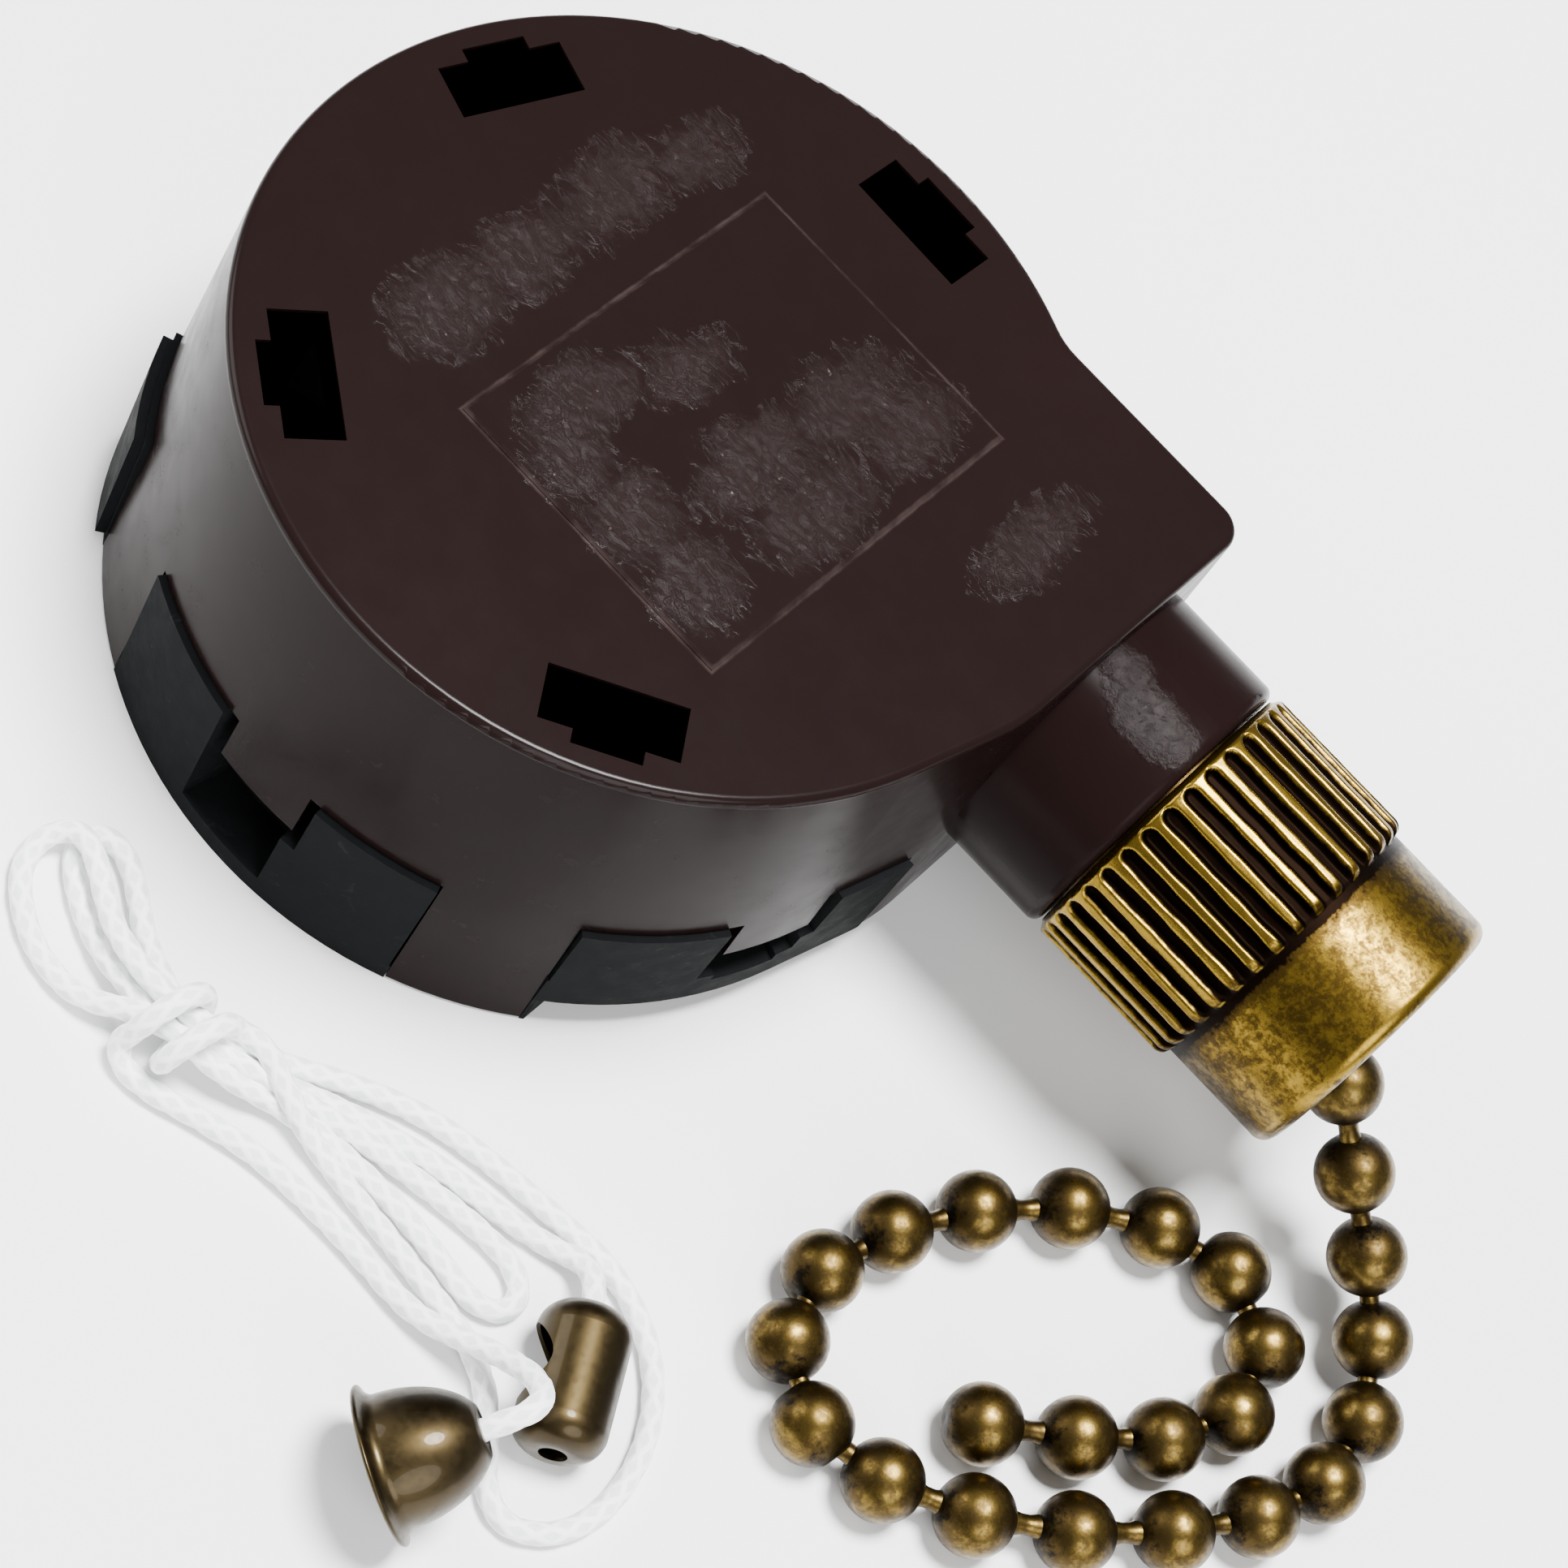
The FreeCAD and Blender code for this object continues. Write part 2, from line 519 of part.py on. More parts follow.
SHORT_LOOP_B = [
    (3.4, -24.6), (1.0, -25.9), (-1.2, -25.9), (-3.2, -24.8), (-4.7, -23.6), (-4.6, -22.6), (-2.7, -23.0),
    (0.2, -23.9)]
KNOT_R = 2.05
KNOT_H = 2.1
COUPLING_MID = V(23.4, -22.3, COUPLING_R + 0.02)
COUPLING_DIR = V(-0.495, 0.87, 0).normalize()
COUPLING_TOP = COUPLING_MID + COUPLING_DIR * (COUPLING_L / 2)
BELL_TIP = V(22.6, -27.35, 4.49)
BELL_DIR = V(0.416, 0.775, 0.475).normalize()       # from rim to tip, standing on the rim's edge


def strand(points):
    """Flat band where the cord lies on the table, as high as the cord is thick."""
    pieces = []
    for (x0, y0), (x1, y1) in zip(points, points[1:]):
        bar = block(0, math.dist((x0, y0), (x1, y1)), -CORD_R, CORD_R, 0, 2 * CORD_R)
        bar.rotate(V(0, 0, 0), V(0, 0, 1), math.degrees(math.atan2(y1 - y0, x1 - x0)))
        bar.translate(V(x0, y0, 0))
        pieces += [bar, disc(CORD_R, 0, 2 * CORD_R, x1, y1)]
    return pieces


def raised(points):
    """Round cord through points above the table."""
    pieces = [Part.makeSphere(CORD_R, p) for p in points[1:-1]]
    return pieces + [Part.makeCylinder(CORD_R, (b - a).Length, a, b - a) for a, b in zip(points, points[1:])]


def extension_cord():
    pieces = [disc(KNOT_R, 0.0, KNOT_H, *KNOT)]
    for points in (OUTER_LOOP, INNER_LOOP, COUPLING_STRAND, BELL_STRAND, SHORT_LOOP_A, SHORT_LOOP_B):
        pieces += strand(points)
    pieces += raised([
        V(20.6, -18.3, 0.5), COUPLING_TOP + COUPLING_DIR * 0.8, COUPLING_TOP - COUPLING_DIR * 0.4])
    pieces += raised([
        V(17.6, -24.5, 0.5), V(19.6, -24.2, 1.5), V(21.1, -24.2, 2.6), V(22.3, -24.6, 3.8),
        V(23.1, -25.4, 4.7), V(23.2, -26.2, 5.0), BELL_TIP + BELL_DIR * 0.5, BELL_TIP - BELL_DIR * 0.6])
    return pieces[0].fuse(pieces[1:])


def bead_coupling():
    """Thin-walled capsule that clips over the chain's last ball."""
    start = COUPLING_MID - COUPLING_DIR * (COUPLING_L / 2)
    shell = Part.makeCylinder(COUPLING_R, COUPLING_L, start, COUPLING_DIR)
    ends = [e for e in shell.Edges if e.Curve.TypeId == "Part::GeomCircle"]
    shell = shell.makeFillet(1.1, ends)
    inner_r, inner_l = COUPLING_R - COUPLING_WALL, COUPLING_L - 2 * COUPLING_WALL
    bore = Part.makeCylinder(inner_r, inner_l, start + COUPLING_DIR * COUPLING_WALL, COUPLING_DIR)
    ends = [e for e in bore.Edges if e.Curve.TypeId == "Part::GeomCircle"]
    bore = bore.makeFillet(0.95, ends)
    side = V(-0.827, -0.471, -0.309).normalize()
    entry = Part.makeCylinder(BALL_R + 0.02, 4.0, start + COUPLING_DIR * 3.1, side)
    slot = Part.makeCylinder(LINK_R + 0.13, 4.0, start + COUPLING_DIR * 1.4, side)
    cord_hole = Part.makeCylinder(CORD_R + 0.1, COUPLING_L + 2, start - COUPLING_DIR, COUPLING_DIR)
    return shell.cut([bore, entry, slot, cord_hole])


def bell_dome(along):
    """Radius of the bell's dome at a distance from its rim."""
    return BELL_DOME_R * math.sqrt(1 - ((along - 1.2) / 2.85) ** 2)


def cord_bell():
    """Domed cap with a flared rim, open at the rim, the cord's hole in its tip."""
    rim = BELL_TIP - BELL_DIR * BELL_L
    bore = CORD_R + 0.1
    stations = [1.2 + (BELL_L - 1.2) * k / 9 for k in range(10)]
    outer = [(0.0, BELL_R - 0.1), (0.1, BELL_R), (0.25, BELL_R - 0.05), (0.5, 2.6), (0.8, 2.38)]
    outer += [(a, bell_dome(a)) for a in stations]
    inner = [(BELL_L, bore), (BELL_L - 0.6, bore)]
    inner += [(a, bell_dome(a) - BELL_WALL) for a in reversed(stations[:-2])]
    inner += [(0.6, 2.2), (0.0, BELL_R - 0.35)]
    return turned(outer + inner, rim, BELL_DIR, BELL_DIR.cross(V(0, 0, 1)).normalize())


makers = {
    "housing_cover": housing_cover, "base_plate": base_plate, "threaded_nipple": threaded_nipple,
    "knurled_nut": knurled_nut, "centre_pin": centre_pin, "chain_drum": chain_drum,
    "pawl_ring": pawl_ring, "contact_rotor": contact_rotor, "rotor_contact": rotor_contact,
    "detent_leaf": detent_leaf, "return_spring": return_spring, "chain_wrap": chain_wrap,
    "chain_lead": chain_lead, "pull_chain": pull_chain, "extension_cord": extension_cord,
    "bead_coupling": bead_coupling, "cord_bell": cord_bell}
for part_name, make in makers.items():
    write(part_name, make())
for way, bearing in zip(("line", "low", "medium", "high"), WINDOWS_DEG):
    write("terminal_block_" + way, radial(terminal_block(), bearing))
    write("terminal_" + way, radial(terminal(), bearing))
    write("wire_clamp_" + way, radial(wire_clamp(), bearing))
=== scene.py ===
"""Looks of the pull cord switch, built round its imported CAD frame. Metres, +Z up, on its base."""
import bisect
import json
import math
import random

import bpy
from mathutils import Matrix, Vector, noise


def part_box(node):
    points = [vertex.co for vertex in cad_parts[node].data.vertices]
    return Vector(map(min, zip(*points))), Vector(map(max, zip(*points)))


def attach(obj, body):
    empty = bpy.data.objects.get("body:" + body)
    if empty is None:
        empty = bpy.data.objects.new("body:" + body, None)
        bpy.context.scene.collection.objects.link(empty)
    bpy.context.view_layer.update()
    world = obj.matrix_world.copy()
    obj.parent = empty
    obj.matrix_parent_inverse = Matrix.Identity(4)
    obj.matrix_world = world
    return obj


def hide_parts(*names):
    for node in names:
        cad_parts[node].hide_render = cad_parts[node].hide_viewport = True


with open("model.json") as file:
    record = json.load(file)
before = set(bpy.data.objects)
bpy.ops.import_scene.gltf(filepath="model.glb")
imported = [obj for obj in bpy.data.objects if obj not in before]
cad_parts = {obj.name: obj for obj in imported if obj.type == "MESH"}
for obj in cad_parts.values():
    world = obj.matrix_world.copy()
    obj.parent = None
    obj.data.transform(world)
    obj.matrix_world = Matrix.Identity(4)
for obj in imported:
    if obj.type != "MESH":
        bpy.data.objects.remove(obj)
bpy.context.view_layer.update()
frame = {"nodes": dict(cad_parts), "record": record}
MM = 0.001


def mm(*xyz):
    return Vector(xyz) * MM


# ---------------------------------------------------------------- camera
CAMERA_AT = mm(25.9, -84.87, 131.55)
CAMERA_RIGHT = Vector((0.6862, 0.6362, 0.3526))     # towards the right of the picture
CAMERA_BACK = Vector((0.0902, -0.5554, 0.8266))     # from what it looks at to the camera
SENSOR_MM = 36.0
LENS_MM = 90.4
NEAREST = 5 * MM


def make_camera():
    data = bpy.data.cameras.new("camera")
    data.sensor_width = SENSOR_MM
    data.lens = LENS_MM
    data.clip_start = NEAREST
    back = CAMERA_BACK.normalized()
    up = back.cross(CAMERA_RIGHT).normalized()
    right = up.cross(back)
    camera = bpy.data.objects.new("camera", data)
    camera.matrix_world = Matrix((right, up, back)).transposed().to_4x4()
    camera.location = CAMERA_AT
    bpy.context.scene.collection.objects.link(camera)
    bpy.context.scene.camera = camera


make_camera()


# ---------------------------------------------------------------- routes of the cords, in millimetres
CHAIN_ROUTE = [
    (29.62, 8.05, 10.6), (32.0, 8.0, 10.45), (34.2, 7.5, 9.6), (36.2, 6.55, 7.85), (38.6, 6.1, 5.9),
    (41.6, 5.3, 3.5), (44.7, 3.3, 1.62),
    (46.3, -0.3, 1.62), (45.4, -4.4, 1.62), (42.8, -8.6, 1.62), (39.1, -12.6, 1.62), (34.9, -15.4, 1.62),
    (31.1, -16.6, 1.62), (27.9, -15.3, 1.62), (26.5, -12.1, 1.62), (27.3, -8.3, 1.62), (29.2, -4.5, 1.62),
    (31.9, -1.1, 1.62), (35.1, 1.3, 1.62), (38.4, 2.1, 1.62), (41.2, 0.5, 1.62), (41.9, -2.6, 1.62),
    (40.4, -5.8, 1.62), (37.8, -8.6, 1.62), (35.0, -11.0, 1.62)]
BALL_R = 1.6 * MM
LINK_R = 0.42 * MM
FIRST_BEAD = 2.38 * MM      # from the route's start to its first bead
BEAD_STEPS = [              # bead to bead, between slack and taut, before the fit to the route's length
    4.0, 3.85, 3.66, 3.4, 3.35, 3.35, 3.4, 3.8, 4.15, 4.1, 3.8, 3.4, 3.35, 3.35, 3.5, 3.8, 4.05, 3.9,
    3.4, 3.35, 3.35, 3.4, 3.7, 3.9]

CORD_R = 0.45 * MM
KNOT = (4.4, -24.2)         # where the cord is wrapped round its own bundle
WRAP_R = 1.5
WRAP_Z = 1.97
WRAP_POINTS = 13
WRAP_POINTS_A_TURN = 8.0
WRAP_START = 0.15           # radians past the side of the bundle
WRAP_FROM = 1.3             # along the bundle from the knot's middle to the first point
WRAP_ADVANCE = 0.19         # along the bundle from one point to the next


def knot_wrap():
    """The turn and a half of the cord round its own bundle."""
    points = []
    for i in range(WRAP_POINTS):
        turn = 2 * math.pi * (i / WRAP_POINTS_A_TURN) + WRAP_START
        across, up = WRAP_R * math.cos(turn), WRAP_R * math.sin(turn)
        points.append((KNOT[0] + WRAP_FROM - WRAP_ADVANCE * i, KNOT[1] + across, WRAP_Z + up))
    return points


CORD_ROUTE = [
    # out of the coupling, back to the knot
    (22.1, -20.0, 1.85), (21.5, -18.9, 1.7), (20.5, -18.2, 0.9), (19.2, -18.6, 0.47), (17.0, -19.2, 0.47),
    (13.6, -19.8, 0.47), (10.0, -21.1, 0.47), (7.4, -22.8, 0.9), (5.2, -23.8, 1.7),
    # first short loop
    (3.2, -23.4, 1.4), (0.8, -22.3, 0.6), (-1.0, -21.0, 0.47), (-2.4, -20.3, 0.47), (-3.6, -20.6, 0.47),
    (-3.7, -21.7, 0.47), (-2.6, -22.7, 0.47), (-0.8, -23.6, 0.47), (1.4, -24.2, 0.9), (4.4, -24.3, 1.6),
    # inner loop
    (6.6, -23.3, 1.5), (9.1, -21.9, 0.6), (13.0, -20.9, 0.47), (17.0, -20.2, 0.47), (18.8, -20.2, 0.47),
    (19.9, -20.9, 0.47), (19.8, -22.0, 0.47), (18.5, -22.5, 0.47), (16.8, -22.2, 0.47), (13.0, -22.0, 0.47),
    (9.0, -22.6, 0.47), (6.8, -23.9, 1.2), (4.4, -24.5, 2.0),
    # second short loop
    (2.8, -24.9, 1.6), (1.0, -25.8, 0.6), (-1.0, -25.8, 0.47), (-2.8, -25.1, 0.47), (-4.2, -24.0, 0.47),
    (-4.7, -22.6, 0.7), (-4.0, -21.5, 1.3), (-2.8, -21.8, 1.6), (-1.4, -22.6, 1.5), (0.2, -23.5, 1.75),
    (3.0, -24.0, 2.2),
    # outer loop, down between coupling and bell and back to the knot
    (5.6, -23.2, 1.9), (7.6, -21.6, 0.6), (9.6, -20.1, 0.47), (12.3, -18.7, 0.47), (15.2, -18.0, 0.47),
    (18.4, -17.6, 0.47), (21.2, -17.3, 0.47), (23.8, -18.0, 0.47), (25.8, -19.5, 0.47), (27.1, -21.6, 0.47),
    (27.6, -24.0, 0.47), (27.1, -26.2, 0.47), (25.6, -27.5, 0.47), (24.1, -27.1, 0.47), (23.1, -26.0, 0.47),
    (22.2, -25.0, 0.47), (21.0, -24.1, 0.47), (19.2, -23.5, 0.47), (14.3, -23.1, 0.47), (10.6, -22.9, 0.6),
    (8.6, -22.6, 1.4), (7.0, -22.2, 1.9),
] + knot_wrap() + [
    # on to the bell
    (3.2, -25.9, 1.0), (3.8, -26.3, 0.47), (5.2, -26.2, 0.47), (7.2, -25.4, 0.47), (10.0, -24.6, 0.47),
    (14.3, -24.4, 0.47),
    (17.6, -24.6, 0.6), (19.6, -24.2, 1.5), (21.1, -24.0, 2.6), (22.3, -24.2, 3.8), (23.2, -24.9, 4.9),
    (23.3, -25.9, 5.35), (22.95, -26.7, 5.05), (22.3, -27.9, 4.15)]


def nurbs(name, route):
    """Smooth curve with the route's points as its control points."""
    data = bpy.data.curves.new(name, "CURVE")
    data.dimensions = "3D"
    data.resolution_u = 16
    spline = data.splines.new("NURBS")
    spline.points.add(len(route) - 1)
    for point, place in zip(spline.points, route):
        point.co = (*mm(*place), 1.0)
    spline.order_u = 3
    spline.use_endpoint_u = True
    return bpy.data.objects.new(name, data)


class Line:
    """A route's smooth curve, walked by distance."""

    def __init__(self, route):
        curve = nurbs("line", route)
        bpy.context.scene.collection.objects.link(curve)
        bpy.context.view_layer.update()
        mesh = bpy.data.meshes.new_from_object(curve.evaluated_get(bpy.context.evaluated_depsgraph_get()))
        self.points = [v.co.copy() for v in mesh.vertices]
        bpy.data.objects.remove(curve)
        self.marks = [0.0]
        for a, b in zip(self.points, self.points[1:]):
            self.marks.append(self.marks[-1] + (b - a).length)
        self.length = self.marks[-1]

    def at(self, distance):
        """Place and heading at a distance from the start."""
        k = min(max(bisect.bisect_right(self.marks, distance) - 1, 0), len(self.points) - 2)
        a, b = self.points[k], self.points[k + 1]
        share = (distance - self.marks[k]) / max(self.marks[k + 1] - self.marks[k], 1e-9)
        return a + (b - a) * share, (b - a).normalized()


def object_of(name, vertices, faces):
    mesh = bpy.data.meshes.new(name)
    mesh.from_pydata([tuple(v) for v in vertices], [], faces)
    mesh.validate()
    mesh.polygons.foreach_set("use_smooth", [True] * len(mesh.polygons))
    obj = bpy.data.objects.new(name, mesh)
    bpy.context.scene.collection.objects.link(obj)
    return obj


def paint(obj, name, values):
    """Store one number a point, for the material to read."""
    obj.data.attributes.new(name, "FLOAT", "POINT").data.foreach_set("value", values)


def tube_faces(rings, sides, start=0):
    """Quads between neighbouring rings of points."""
    faces = []
    for ring in range(rings - 1):
        for i in range(sides):
            a, b = start + ring * sides + i, start + ring * sides + (i + 1) % sides
            faces.append((a, b, b + sides, a + sides))
    return faces


def turned(profile, sides, origin, axis, side, start=0):
    """Points and faces of (distance, radius) pairs turned about an axis."""
    other = axis.cross(side)
    vertices = []
    for along, radius in profile:
        for i in range(sides):
            turn = 2 * math.pi * i / sides
            out = side * math.cos(turn) + other * math.sin(turn)
            vertices.append(origin + axis * along + out * radius)
    return vertices, tube_faces(len(profile), sides, start)


# ---------------------------------------------------------------- ball chain
BEAD_SIDES = 40
BEAD_RINGS = 24
BEAD_FLAT_R = 0.62 * MM     # how far out a bead is flattened round its link
BEAD_FLAT = 0.07            # by what share of its radius
LINK_SIDES = 16
LINK_SHAPE = (              # share of the way from bead to bead, and of the link's radius
    (0.2, 1.15), (0.4, 1.1), (0.46, 0.95), (0.54, 0.95), (0.6, 1.1), (0.8, 1.15))
LINK_TARNISH = 0.45


def bead_profile():
    """Closed sphere, flattened a little where the link goes in."""
    profile = []
    for i in range(BEAD_RINGS + 1):
        turn = math.pi * i / BEAD_RINGS
        radius = math.sin(turn) * BALL_R
        flat = max(0.0, 1.0 - radius / BEAD_FLAT_R)
        profile.append((-math.cos(turn) * BALL_R * (1.0 - BEAD_FLAT * flat), max(radius, 1e-6)))
    return profile


def ball_chain():
    line = Line(CHAIN_ROUTE)
    stretch = (line.length - FIRST_BEAD) / sum(BEAD_STEPS)
    beads, at = [], FIRST_BEAD
    for step in BEAD_STEPS + [0.0]:
        beads.append(line.at(at))
        at += step * stretch
    rng = random.Random(4)
    profile = bead_profile()
    vertices, faces, tarnish = [], [], []
    for centre, heading in beads:
        roll = Matrix.Rotation(rng.uniform(0.0, 2 * math.pi), 3, heading)
        side = roll @ heading.orthogonal().normalized()
        points, quads = turned(profile, BEAD_SIDES, centre, heading, side, len(vertices))
        vertices += points
        faces += quads
        tarnish += [abs((p - centre).normalized().dot(heading)) for p in points]
    for (a, _), (b, _) in zip(beads, beads[1:]):
        span = (b - a).length
        bar = [(span * share, LINK_R * size) for share, size in LINK_SHAPE]
        heading = (b - a).normalized()
        side = heading.orthogonal().normalized()
        points, quads = turned(bar, LINK_SIDES, a, heading, side, len(vertices))
        vertices += points
        faces += quads
        tarnish += [LINK_TARNISH] * len(points)
    obj = object_of("ball_chain", vertices, faces)
    paint(obj, "tarnish", tarnish)
    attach(obj, "chain")
    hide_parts("pull_chain")
    return obj


# ---------------------------------------------------------------- white cord
CORD_SIDES = 24
CORD_STEP = 0.1 * MM
BRAID_PITCH = 2.4 * MM
BRAID_STRANDS = 4
BRAID_DEPTH = 0.06          # share of the cord's radius
BELL_TIP = Vector((22.6, -27.35, 4.49))
BELL_DIR = Vector((0.416, 0.775, 0.475)).normalized()       # from rim to tip
BELL_L = 3.9
BELL_DOME_R = 2.45
BELL_DOME_FROM = 0.55       # from the rim to where the dome starts
BELL_DOME_SPAN = BELL_L - 0.25      # half height of the oval the dome is cut from
BELL_STEPS = 24
BELL_EYE_R = 0.5
BELL_EYE_DEPTH = 0.5
BELL_WALL = 0.28
BELL_LIP = [                # flared rim: distance from the rim and radius, outside and round to the inside
    (0.40, 2.52), (0.28, 2.64), (0.20, 2.80), (0.15, 2.93), (0.08, 2.95), (0.0, 2.88), (0.0, 2.70),
    (0.2, 2.4)]


def bell():
    """Domed cap at the cord's end, its flared rim standing on the table."""
    rim = BELL_TIP - BELL_DIR * BELL_L
    eye_end = (BELL_L - BELL_EYE_DEPTH, BELL_EYE_R)
    outer, inner = [], []
    for k in range(BELL_STEPS + 1):
        along = BELL_L - (BELL_L - BELL_DOME_FROM) * (k / BELL_STEPS)
        radius = BELL_DOME_R * math.sqrt(1.0 - ((along - BELL_DOME_FROM) / BELL_DOME_SPAN) ** 2)
        outer.append((along, max(radius, BELL_EYE_R + 0.08)))
        inner.append((along - 0.1, max(radius - BELL_WALL, BELL_EYE_R + 0.02)))
    outline = [eye_end, (BELL_L, BELL_EYE_R)] + outer + BELL_LIP + inner[:1:-1] + [eye_end]
    profile = [(along * MM, radius * MM) for along, radius in outline]
    side = BELL_DIR.orthogonal().normalized()
    obj = object_of("bell", *turned(profile, 72, mm(*rim), BELL_DIR, side))
    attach(obj, "cord_set")
    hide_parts("cord_bell")
    return obj


def white_cord():
    """Braided cord: a tube whose skin rises and falls in two crossing sets of strands."""
    line = Line(CORD_ROUTE)
    rings = int(line.length / CORD_STEP) + 1
    vertices, lift = [], []
    side = Vector((0.0, 0.0, 1.0))
    for i in range(rings):
        distance = line.length * i / (rings - 1)
        centre, heading = line.at(distance)
        side = (side - heading * side.dot(heading)).normalized()
        other = heading.cross(side)
        pitch = 2 * math.pi * distance / BRAID_PITCH
        for k in range(CORD_SIDES):
            turn = 2 * math.pi * k / CORD_SIDES
            left = math.cos(BRAID_STRANDS * (turn + pitch / 2))
            right = math.cos(BRAID_STRANDS * (turn - pitch / 2))
            rise = max(left, right)
            radius = CORD_R * (1.0 - BRAID_DEPTH + BRAID_DEPTH * rise)
            vertices.append(centre + (side * math.cos(turn) + other * math.sin(turn)) * radius)
            lift.append(rise)
    faces = tube_faces(rings, CORD_SIDES)
    faces.append(tuple(reversed(range(CORD_SIDES))))
    faces.append(tuple((rings - 1) * CORD_SIDES + k for k in range(CORD_SIDES)))
    obj = object_of("white_cord", vertices, faces)
    paint(obj, "rise", lift)
    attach(obj, "cord_set")
    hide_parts("extension_cord")
    return obj


# ---------------------------------------------------------------- knurled nut
NUT_LOW, NUT_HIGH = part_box("knurled_nut")
NUT_AXIS_Y = (NUT_LOW[1] + NUT_HIGH[1]) / 2 / MM
NUT_AXIS_Z = (NUT_LOW[2] + NUT_HIGH[2]) / 2 / MM
NUT_FROM = NUT_LOW[0] / MM
NUT_TO = NUT_HIGH[0] / MM
RIDGE_R = (NUT_HIGH[1] - NUT_LOW[1]) / 2 / MM
BARREL_R = RIDGE_R - 0.45
BORE_R = RIDGE_R - 1.43
EYE_R = 4.3                     # the opening the chain comes out of
RIM_R = 0.6                     # rounding of the barrel's edge
LIP = 0.9                       # thickness of the wall round the opening
RIBS = 36
RIB_SIDES = 16
RIB_HALF = 0.15                 # half the flat top of a rib
RIB_FLANK = 0.24                # across one side of a rib, from top to groove
GROOVE_DEPTH = 0.42
GROOVE_FROM = 0.32              # from the nut's neck end to the start of its grooves
GROOVE_END_R = 0.42             # rounding of a groove's end
KNURL_TO = NUT_FROM + 7.0       # where the ribs end and the barrel begins
RIB_TIP = 0.5                   # length of a rib's rounded tip
NECK_CHAMFER = 0.35             # fall of the ribs' tops at the neck end
KNURL_STEPS = 72
BARREL_WEAR = (                 # distance along the barrel, and how worn bright it is there
    (0.08, 0.05), (0.2, 0.12), (0.4, 0.45), (0.8, 0.66), (1.6, 0.68), (2.6, 0.68), (3.6, 0.68),
    (NUT_TO - RIM_R - KNURL_TO, 0.7))


def smooth(low, high, value):
    share = min(max((value - low) / (high - low), 0.0), 1.0)
    return share * share * (3.0 - 2.0 * share)


def knurl_radius(x, turn):
    """Outer radius of the ribbed length, and how worn bright it is there."""
    pitch = 2 * math.pi / RIBS
    rib = round(turn / pitch)
    off = abs(turn - rib * pitch) * RIDGE_R         # distance from the rib's middle line
    half = RIB_HALF + 0.05 * noise.noise(Vector((x * 0.9, rib * 3.7, 0.0)))
    # the groove starts in a rounded end near the neck, and the rib ends in a rounded tip
    into = min(max((x - NUT_FROM - GROOVE_FROM) / GROOVE_END_R, 0.0), 1.0)
    width = math.sqrt(1.0 - (1.0 - into) ** 2)
    flank = off - half - (1.0 - width) * GROOVE_END_R
    groove = smooth(0.0, RIB_FLANK, flank) * smooth(0.0, 0.3, into)
    tip = min(max((x - (KNURL_TO - RIB_TIP)) / RIB_TIP, 0.0), 1.0)
    top = BARREL_R + (RIDGE_R - BARREL_R) * math.sqrt(max(1.0 - tip * tip, 0.0))
    top -= NECK_CHAMFER * (1.0 - smooth(0.0, 0.3, x - NUT_FROM))
    dent = 0.012 * noise.noise(Vector((x * 2.2, turn * RIDGE_R * 2.2, 4.0)))
    floor = min(top, RIDGE_R - GROOVE_DEPTH)
    recess = smooth(KNURL_TO - 0.75, KNURL_TO - 0.35, x)
    recess *= 1.0 - smooth(KNURL_TO + 0.05, KNURL_TO + 0.5, x)
    radius = top + (floor - top) * groove + dent
    return radius, max(0.0, 1.0 - 1.6 * groove) * (1.0 - recess * (0.3 + 0.7 * groove))


def nut_rings():
    """Rings of the nut, as (x, radius, how worn): over the ribs and barrel and in through the eye.

    A ring with no radius is one of the ribbed length, where knurl_radius gives both.
    """
    rings = [(NUT_FROM, BORE_R, 0.1), (NUT_FROM, RIDGE_R - 0.5, 0.1)]
    for i in range(KNURL_STEPS + 1):
        rings.append((NUT_FROM + (KNURL_TO - NUT_FROM) * i / KNURL_STEPS, None, None))
    for along, worn in BARREL_WEAR:
        rings.append((KNURL_TO + along, BARREL_R, worn))
    for k in range(1, 9):
        turn = math.pi / 2 * k / 8
        x = NUT_TO - RIM_R * (1 - math.sin(turn))
        rings.append((x, BARREL_R - RIM_R * (1 - math.cos(turn)), 0.95 - 0.05 * k))
    rings += [(NUT_TO, EYE_R + 0.6, 0.3), (NUT_TO, EYE_R + 0.2, 0.35), (NUT_TO - 0.06, EYE_R + 0.05, 0.5),
              (NUT_TO - 0.2, EYE_R, 0.2), (NUT_TO - LIP, EYE_R, 0.0), (NUT_TO - LIP, BORE_R, 0.0),
              (NUT_FROM, BORE_R, 0.0)]
    return rings


def knurled_nut():
    sides = RIBS * RIB_SIDES
    rings = nut_rings()
    vertices, worn = [], []
    for x, radius, shade in rings:
        for i in range(sides):
            turn = 2 * math.pi * i / sides
            r, w = (radius, shade) if radius else knurl_radius(x, turn)
            vertices.append(mm(x, NUT_AXIS_Y + r * math.cos(turn), NUT_AXIS_Z + r * math.sin(turn)))
            worn.append(w)
    obj = object_of("nut_skin", vertices, tube_faces(len(rings), sides))
    paint(obj, "worn", worn)
    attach(obj, "nut")
    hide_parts("knurled_nut")
    return obj


